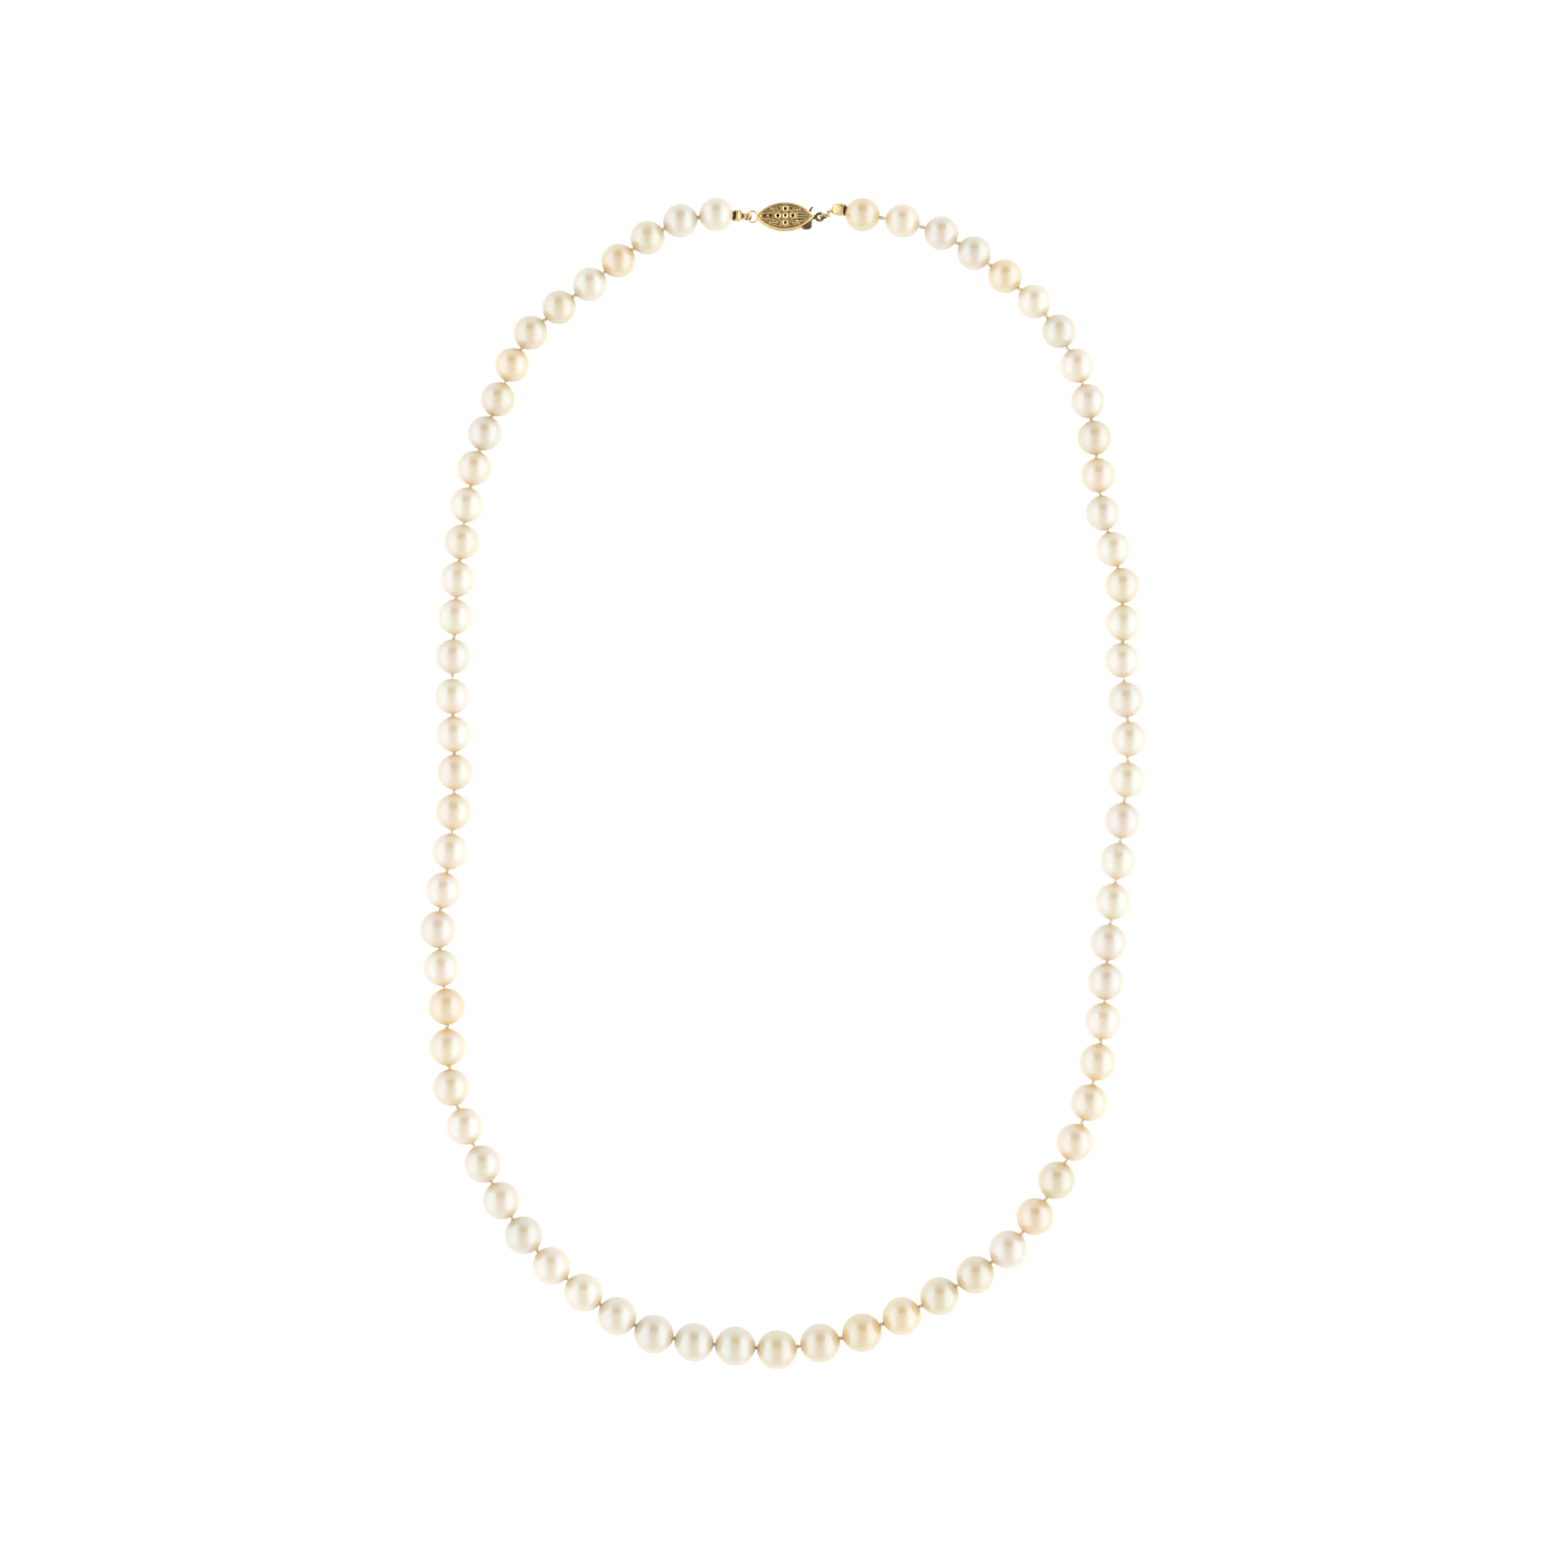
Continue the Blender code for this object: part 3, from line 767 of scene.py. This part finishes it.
def build_silk(centres, look):
    """A thread and a knot in every gap, joined into one piece for each body of the strand.

    At a hinge the thread stops at the next pearl's hole, and a separate end fills the hole.
    """
    gaps_of = {}
    for number in range(1, PEARLS):
        gaps_of.setdefault(BODY_OF[pair_node(number)], []).append(number)
    for body, gaps in gaps_of.items():
        bm = bmesh.new()
        for number in gaps:
            first, second = centres[number], centres[number + 1]
            ahead = (second - first).normalized()
            leaves = first + ahead * first.z
            enters = second - ahead * second.z
            gap = (enters - leaves).length
            middle = (leaves + enters) / 2
            rng = random.Random(KNOT_SEED + number)
            length = min(gap + KNOT_SQUEEZE, KNOT_LENGTH)
            slack = max((gap - length) / 2, 0.0)
            shift = rng.uniform(-slack, slack)
            inside = THREAD_INSIDE
            if BODY_OF[pair_node(number + 1)] != body:
                inside = THREAD_AT_HINGE
                length = min(gap - KNOT_PLAY, KNOT_LENGTH)
                shift = min(shift, 0.0) - KNOT_PLAY
            silk_thread(bm, leaves - THREAD_INSIDE * ahead, enters + inside * ahead)
            overhand_knot(bm, middle + shift * ahead, ahead, length, rng)
            if number > 1 and BODY_OF[pair_node(number - 1)] != body:
                arrives = (first - centres[number - 1]).normalized()
                mouth = first - arrives * first.z
                silk_thread(bm, mouth + THREAD_END * arrives, mouth + THREAD_INSIDE * arrives)
        nodes = sorted({pair_node(number) for number in gaps})
        finish_piece(f"silk_{body}", bm, look, body, nodes, sharp=80)


# --- Clasp box ---


def pointed_oval(inset, steps=24):
    """The box's outline moved inward by inset, anticlockwise from the right tip."""
    radius = (BOX_HALF_LENGTH**2 + BOX_HALF_WIDTH**2) / (2 * BOX_HALF_WIDTH)
    offset = radius - BOX_HALF_WIDTH
    inner = radius - inset
    reach = math.acos(offset / inner)
    upper = []
    for step in range(steps):
        angle = reach - 2 * reach * step / steps
        upper.append((inner * math.sin(angle), inner * math.cos(angle) - offset))
    return upper + [(-x, -y) for x, y in upper]


def dome(x, y):
    """How high the relief's wires run: highest over the middle, level with the rim at the edge."""
    fall = (y / BOX_HALF_WIDTH) ** 2 + 0.75 * (x / BOX_HALF_LENGTH) ** 2
    return DOME_TOP - DOME_FALL * min(fall, 1.0)


def on_dome(points, lift=0.0):
    return [Vector((x, y, dome(x, y) + lift)) for x, y in points]


def relief_wire(bm, points, width, height, closed=False, taper=None):
    line = smooth_line([Vector(p) for p in points], closed=closed)
    sweep(bm, on_dome(line), oval(width, height), closed, taper=taper)


def petal_centres():
    return [
        (FLOWER_X + PETAL_X, FLOWER_Y),
        (FLOWER_X, FLOWER_Y + PETAL_Y),
        (FLOWER_X - PETAL_X, FLOWER_Y),
        (FLOWER_X, FLOWER_Y - PETAL_Y),
    ]


def eye_centres():
    """Each eye's middle and the radius of its hole."""
    return [(-2.85, 0.05, 0.27), (-4.0, 0.05, 0.3)]


def back_plate():
    """The underside's plate, whole, so that nothing shows through the box."""
    bm = bmesh.new()
    pierced_plate(bm, pointed_oval(PLATE_INSET), [], PLATE_LOW, PLATE_HIGH)
    return bm


def face_plate():
    """The recessed plate behind the relief, pierced by the flower, eyes, bars and leaves."""
    holes = [circle(FLOWER_X, FLOWER_Y, 0.2)]
    holes += [circle(x, y, 0.3) for x, y in petal_centres()]
    holes += [circle(*eye) for eye in eye_centres()]
    between_bars = ((-0.22, -0.1, 2.75, 4.6), (0.22, 0.42, 2.8, 4.2), (-0.78, -0.56, 2.6, 4.0))
    for low, high, near, far in between_bars:
        point = (low + high) / 2
        holes.append([(near, low), (far, point - 0.04), (far, point + 0.04), (near, high)])
    for sx in (-1, 1):
        for sy in (-1, 1):
            slot = [(0.95, 1.75), (1.05, 1.35), (1.5, 1.45), (1.95, 1.65), (1.5, 1.85)]
            holes.append([(sx * x, sy * y) for x, y in slot])
    bm = bmesh.new()
    pierced_plate(bm, pointed_oval(PLATE_INSET), holes, PLATE_LOW, PLATE_HIGH)
    return bm


def face_rim():
    """The outer rim wire and a finer line inside it."""
    bm = bmesh.new()
    outer = [Vector((x, y, RIM_HEIGHT)) for x, y in pointed_oval(RIM_INSET)]
    sweep(bm, outer, oval(0.21, 0.25, 14), closed=True)
    inner = [Vector((x, y, RIM_HEIGHT + 0.02)) for x, y in pointed_oval(RIM_INSET + 0.36)]
    sweep(bm, inner, oval(0.085, 0.16), closed=True)
    return bm


def face_flower():
    """Four double-edged ring petals round a pierced heart, tied by small curved wires."""
    ring = [(0.34, RELIEF_DEPTH), (0.33, -0.02), (0.37, 0.11), (0.46, 0.16), (0.55, 0.11), (0.6, 0.02),
            (0.64, 0.02), (0.7, 0.09), (0.79, 0.09), (0.85, -0.02), (0.86, RELIEF_DEPTH)]
    bm = bmesh.new()
    for x, y in petal_centres():
        lathe(bm, ring, 32, Vector((x, y, dome(x, y))))
    heart = [(0.22, RELIEF_DEPTH), (0.21, 0.06), (0.28, 0.17), (0.4, 0.14), (0.5, 0.02), (0.62, -0.05),
             (0.7, RELIEF_DEPTH)]
    lathe(bm, heart, 32, Vector((FLOWER_X, FLOWER_Y, dome(0, 0))))
    for sx in (-1, 1):
        for sy in (-1, 1):
            tie = [(0.6, 1.75), (0.82, 1.2), (1.02, 0.95), (1.35, 0.8), (1.75, 0.72)]
            relief_wire(bm, [(FLOWER_X + sx * x, FLOWER_Y + sy * y) for x, y in tie], 0.12, 0.17)
    return bm


def face_leaves():
    """Four pointed leaves in the corners between the petals and the rim, each with a vein."""
    bm = bmesh.new()
    leaves = (
        (1, 1, (1.35, 1.15), (3.2, 1.5), 0.42),
        (-1, 1, (1.25, 1.2), (2.95, 1.62), 0.42),
        (-1, -1, (1.3, 1.1), (3.15, 1.55), 0.44),
        (1, -1, (1.25, 1.15), (3.0, 1.6), 0.44),
    )
    for sx, sy, root, tip, width in leaves:
        base = Vector((sx * root[0], sy * root[1]))
        end = Vector((sx * tip[0], sy * tip[1]))
        along = end - base
        across = Vector((-along.y, along.x)).normalized() * width
        ring = [base, base + 0.25 * along + 0.75 * across, base + 0.6 * along + 0.8 * across, end,
                base + 0.6 * along - 0.8 * across, base + 0.25 * along - 0.75 * across]
        relief_wire(bm, ring, 0.11, 0.16, closed=True)
        vein = [base + 0.1 * along, base + 0.5 * along, base + 0.88 * along]
        relief_wire(bm, vein, 0.2, 0.17, taper=lambda t: 1.0 - 0.5 * abs(2 * t - 0.8))
    return bm


def face_arch():
    """The end by the ring: two eyes with a bead between them, under lines that meet at the tip."""
    bm = bmesh.new()
    for sy in (-1, 1):
        relief_wire(bm, [(-2.0, sy * 0.92), (-2.6, sy * 0.66), (-3.5, sy * 0.64), (-4.4, sy * 0.46),
                         (-5.2, sy * 0.1)], 0.16, 0.18)
        relief_wire(bm, [(-2.5, sy * 1.15), (-3.3, sy * 1.12), (-4.2, sy * 0.86), (-5.0, sy * 0.42)],
                    0.11, 0.15)
    for x, y, radius in eye_centres():
        eye = [(radius, RELIEF_DEPTH), (radius, 0.0), (radius + 0.05, 0.06), (radius + 0.12, 0.0),
               (radius + 0.14, RELIEF_DEPTH)]
        lathe(bm, eye, 24, Vector((x, y, dome(x, y) - 0.08)))
    bead(bm, Vector((-3.43, 0.05, dome(-3.43, 0))), 0.2)
    bead(bm, Vector((-4.9, 0.0, dome(-4.9, 0) + 0.05)), 0.3)
    return bm


def face_bars():
    """The end by the hook: slender bars that run together at the tip, with a bead at each root."""
    bm = bmesh.new()
    bars = (
        (1.1, 0.55, 0.13),
        (0.62, 0.3, 0.15),
        (0.05, 0.1, 0.14),
        (-0.38, -0.1, 0.14),
        (-0.98, -0.4, 0.17),
    )
    for root, tip, width in bars:
        bar = [(2.45, root), (3.3, root * 0.98 + 0.02), (4.3, 0.62 * root + 0.38 * tip),
               (5.25, tip * 0.6)]
        relief_wire(bm, bar, width, 0.15, taper=lambda t: 1.0 - 0.35 * t)
        bead(bm, Vector((2.45, root, dome(2.45, root))), width * 1.45)
    relief_wire(bm, [(2.3, 0.66), (2.15, 0.3), (2.35, 0.0)], 0.08, 0.13)
    relief_wire(bm, [(2.35, -0.1), (2.15, -0.5), (2.4, -0.95)], 0.08, 0.13)
    return bm


def gallery_wall():
    """The side wall, open at +X where the hook goes in, with three beaded wires round it."""
    top, shoulder = WALL_HEIGHT, WALL_HEIGHT - 0.08
    section = [(0.15, -top), (0.15, top), (-0.13, top), (-0.15, shoulder), (-0.15, -shoulder),
               (-0.13, -top)]
    line = [p for p in pointed_oval(WALL_INSET, 30) if p[0] < WALL_END_X]
    bm = bmesh.new()
    sweep(bm, [Vector((x, y, 0)) for x, y in line], section)
    beaded = [p for p in pointed_oval(WALL_INSET - 0.15, 150) if p[0] < WALL_END_X - 0.15]
    for height, wire in ((0.0, 0.14), (0.62, 0.09), (-0.62, 0.09)):
        wire_line = [Vector((x, y, height)) for x, y in beaded]
        sweep(bm, wire_line, oval(wire, wire, 8),
              taper=lambda t: 0.72 + 0.28 * math.cos(math.tau * WALL_BEADS * t))
    return bm


def build_box(gold):
    place = Matrix.Translation(BOX_CENTRE)
    below = place @ Matrix.Rotation(math.pi, 4, "X")
    pieces = (
        ("rim", face_rim, face_rim, "rim"),
        ("plate", face_plate, back_plate, "filigree"),
        ("petals", face_flower, face_flower, "flower"),
        ("leaves", face_leaves, face_leaves, "filigree"),
        ("arch", face_arch, face_arch, "filigree"),
        ("bars", face_bars, face_bars, "filigree"),
    )
    for name, front, back, node in pieces:
        front_node, back_node = f"clasp_front_{node}", f"clasp_back_{node}"
        finish_piece(f"front_{name}", front(), gold, "clasp_box", [front_node], place)
        finish_piece(f"back_{name}", back(), gold, "clasp_box", [back_node], below)
    finish_piece("box_wall", gallery_wall(), gold, "clasp_box", ["clasp_wall"], place)
    lip = bmesh.new()
    near, far, side = 3.0, 3.25, 1.0
    bar = [(near, -side), (far, -side), (far, side), (near, side)]
    pierced_plate(lip, bar, [], LIP_LOW, LIP_HIGH)
    finish_piece("catch_lip", lip, gold, "clasp_box", ["clasp_catch_lip"], place)
    ring = bmesh.new()
    turns = [math.tau * k / 48 for k in range(48)]
    along, across = RING_REACH
    around = [Vector((RING_X + along * math.cos(a), across * math.sin(a), 0)) for a in turns]
    sweep(ring, around, oval(RING_WIRE, RING_WIRE, 12), closed=True)
    finish_piece("end_ring", ring, gold, "clasp_box", ["clasp_end_ring"], place)


# --- Hook ---


def tongue_plan():
    """A round nose, straight sides, a ring at the far end and a small spur before it."""
    half = TONGUE_HALF_WIDTH
    turns = [math.pi * k / 10 for k in range(11)]
    nose = [(-1.8 + 0.62 * (1 - math.sin(a)), half * math.cos(a)) for a in turns]
    lower = [(4.7, -half), (5.2, -0.72), (5.75, -0.42)]
    ring = []
    for k in range(29):
        angle = math.radians(-154 + 308 * k / 28)
        ring.append((HOOK_RING_X + HOOK_RING_RADIUS * math.cos(angle),
                     HOOK_RING_RADIUS * math.sin(angle)))
    upper = [(5.75, 0.42), (5.42, 0.62), (5.2, 0.98), (5.36, 1.5), (5.68, 1.95), (5.6, 2.08),
             (5.34, 2.06), (4.95, 1.5), (4.6, 1.02), (4.2, half)]
    return nose + lower + ring + upper


def build_hook(metal):
    place = Matrix.Translation(BOX_CENTRE)
    tongue = bmesh.new()
    hole = circle(HOOK_RING_X, 0, HOOK_HOLE_RADIUS, 28)
    pierced_plate(tongue, tongue_plan(), [hole], TONGUE_LOW, TONGUE_HIGH, 0.06)
    finish_piece("hook_plate", tongue, metal, "clasp_hook", ["hook_tongue"], place)

    # The leaf rises from the tongue's nose to the bend, then runs level to its thumb tab
    leaf = bmesh.new()
    start, bend = LEAF_START_X, LEAF_BEND_X
    strip = [(start, 0.6), (-1.62, 0.65), (bend, 0.65), (bend, -0.1), (4.6, -0.1), (5.2, -0.5),
             (5.45, -1.0), (5.42, -1.9), (5.3, -2.3), (5.0, -2.54), (4.6, -2.62), (3.8, -2.62),
             (3.5, -2.5), (3.36, -2.2), (3.34, -0.65), (-1.62, -0.65), (start, -0.6)]
    pierced_plate(leaf, strip, [], 0, LEAF_THICK, 0.05)
    bmesh.ops.bisect_plane(leaf, geom=leaf.verts[:] + leaf.edges[:] + leaf.faces[:],
                           plane_co=(bend, 0, 0), plane_no=(1, 0, 0))
    for vert in leaf.verts:
        share = (vert.co.x - start) / (bend - start)
        vert.co.z += LEAF_LOW + LEAF_RISE * min(share, 1.0)
    grip_height = LEAF_LOW + LEAF_RISE + LEAF_THICK + 0.01
    for k in range(GRIP_RIDGES):
        x = 3.75 + 0.3 * k
        ridge = [Vector((x, -2.45, grip_height)), Vector((x, -1.75, grip_height))]
        sweep(leaf, ridge, oval(0.07, 0.06, 8))
    finish_piece("thumb_leaf", leaf, metal, "clasp_leaf", ["hook_spring_leaf"], place)


# --- Bead tips ---


def bead_tip(side, pearl, silk_angle, cup_end, ring_centre, ring_radius, cup, loop, looks):
    """A cup over the strand's end knot, and the ribbon that curls round a ring of the clasp."""
    gold, dark, silk = looks
    body = BODY_OF[f"{side}_bead_tip"]
    angle = math.radians(silk_angle)
    start = pearl + pearl.z * Vector((math.cos(angle), math.sin(angle), 0))
    run = cup_end - start
    turned = Matrix.Rotation(math.atan2(run.y, run.x), 4, "Z")
    tilted = Matrix.Rotation(-math.atan2(run.z, math.hypot(run.x, run.y)), 4, "Y")
    place = Matrix.Translation(start) @ turned @ tilted
    base = cup["base"]

    shell = bmesh.new()
    lathe(shell, cup["profile"], 40, axis="X", squareness=cup["squareness"])
    ridge = [(cup["radius"] * reach, cup["ridge"] + along) for reach, along in
             ((0.8, -0.09), (1.0, -0.07), (1.03, 0.0), (1.0, 0.07), (0.8, 0.09))]
    lathe(shell, ridge, 40, axis="X", squareness=cup["squareness"])
    finish_piece(f"{side}_cup", shell, gold, body, [f"{side}_bead_tip"], place, 50)

    # Painted shade: a dark band in the cup's mouth, next to the pearl, standing for the shadow inside
    # the mouth
    mouth_shade = bmesh.new()
    band = [(0.3, 0.03), (0.6, 0.02), (0.8, 0.08), (0.84, 0.2), (0.78, 0.32), (0.3, 0.34)]
    lathe(mouth_shade, band, 28, axis="X")
    finish_piece(f"{side}_collar", mouth_shade, dark, body, [f"{side}_bead_tip"], place)

    # The ribbon leaves the cup's base, bends to the ring and curls once round its wire
    outward = Vector((start.x - ring_centre.x, start.y - ring_centre.y, 0)).normalized()
    loop_centre = ring_centre + ring_radius * outward
    cup_base = place @ Vector((base - 0.1, 0, 0))
    axis = Z_AXIS.cross(outward)
    roll = Matrix.Rotation(math.radians(loop["roll"]), 3, outward)
    wire = bmesh.new()
    line = [cup_base, place @ Vector((base + 0.2, 0, 0))]
    steps = 32
    for k in range(steps + 1):
        swing = math.radians(395 * k / steps - 15)
        reach = loop["radius"] * (math.cos(swing) * outward + math.sin(swing) * Z_AXIS)
        reach += loop["drift"] * (k / steps - 0.5) * axis
        line.append(loop_centre + roll @ reach)
    ribbon = smooth_line([p - start for p in line], 3)
    sweep(wire, ribbon, oval(0.13, loop["width"], 12), up=roll @ axis)

    # Its tail is wound round the shank between the cup and the curl
    first, last = line[1] - start, line[2] - start
    ahead = (last - first).normalized()
    aside = Z_AXIS.cross(ahead).normalized()
    rise = ahead.cross(aside)
    turns = loop["wraps"]
    coil = []
    for k in range(16 * turns + 1):
        swing = math.tau * k / 16
        along = first.lerp(last, 0.02 + 0.85 * k / (16 * turns))
        coil.append(along + loop["coil"] * (math.cos(swing) * aside + math.sin(swing) * rise))
    sweep(wire, coil, oval(0.17, 0.17, 8), up=ahead)
    finish_piece(f"{side}_loop", wire, gold, body, [f"{side}_bead_tip"],
                 Matrix.Translation(start), 60)

    knot = bmesh.new()
    rng = random.Random(END_KNOT_SEEDS[side])
    overhand_knot(knot, Vector((0.75, 0, 0)), X_AXIS, 0.8, rng)
    silk_thread(knot, Vector((-0.6, 0, 0)), Vector((0.7, 0, 0)))
    finish_piece(f"{side}_knot", knot, silk, body, [f"{side}_end_knot"], place, 80)


def cup_shape(mouth, base, radius, wall, squareness, ridge):
    """A drop-shaped cup: wide mouth by the pearl, closing over the knot to the shank."""
    depth = base - mouth
    outside = [(radius * share, mouth + depth * along) for share, along in
               ((0.86, 0.0), (0.95, 0.06), (1.0, 0.2), (0.99, 0.5), (0.94, 0.76), (0.78, 0.93),
                (0.4, 1.0), (0.12, 1.02))]
    inside = [(radius * share - wall, mouth + (depth - wall) * along) for share, along in
              ((0.86, 0.02), (0.95, 0.2), (0.9, 0.6), (0.6, 0.88))]
    return {"profile": inside[::-1] + outside, "radius": radius, "base": base,
            "squareness": squareness, "ridge": ridge}


def build_bead_tips(centres, looks):
    ring_centre = BOX_CENTRE + Vector((RING_X, 0, 0))
    hook_centre = BOX_CENTRE + Vector((HOOK_RING_X, 0, TONGUE_MIDDLE))
    left_end = ring_centre + Vector((-0.95, 0, 0.3))
    right_end = Vector((9.3, 115.25, 2.3))
    left_cup = cup_shape(0.22, 1.6, 1.17, 0.16, 0.12, 1.15)
    right_cup = cup_shape(0.22, 2.8, 1.22, 0.18, 0.16, 1.05)
    left_loop = {"radius": 0.64, "roll": 30, "wraps": 3, "coil": 0.5, "width": 0.42, "drift": 0.35}
    right_loop = {"radius": 0.56, "roll": -30, "wraps": 1, "coil": 0.42, "width": 0.36, "drift": 0.3}
    bead_tip("left", centres[1], -2.0, left_end, ring_centre, 0.95, left_cup, left_loop, looks)
    bead_tip("right", centres[PEARLS], 164.0, right_end, hook_centre, 0.71, right_cup, right_loop,
             looks)


def build():
    build_camera()
    build_studio()
    build_floor()
    bpy.context.scene.view_settings.view_transform = "Standard"

    centres = pearl_centres()
    silk = silk_look()
    gold = gold_look(
        "gold_14k",
        bright=(0.87, 0.68, 0.38, 1),
        worn=(0.75, 0.56, 0.28, 1),
        painted_recess_shade=(0.34, 0.21, 0.06, 1),
        rough=(0.18, 0.36),
    )
    tip_gold = gold_look(
        "gold_tips",
        bright=(0.72, 0.55, 0.31, 1),
        worn=(0.58, 0.43, 0.22, 1),
        painted_recess_shade=(0.3, 0.19, 0.07, 1),
        rough=(0.24, 0.4),
    )
    # Painted shade: a much darker copy of the gold, for the hook and for the dark bands in the cup
    # mouths, with random patches of the tarnish colour over it
    hook_gold = gold_look(
        "gold_painted_shade_and_tarnish",
        bright=(0.19, 0.135, 0.055, 1),
        worn=(0.11, 0.075, 0.03, 1),
        painted_recess_shade=(0.03, 0.02, 0.008, 1),
        rough=(0.3, 0.5),
        tarnish=0.1,
        tarnished=(0.4, 0.28, 0.13, 1),
    )
    build_pearls(centres)
    build_silk(centres, silk)
    build_box(gold)
    build_hook(hook_gold)
    build_bead_tips(centres, (tip_gold, hook_gold, silk))


build()
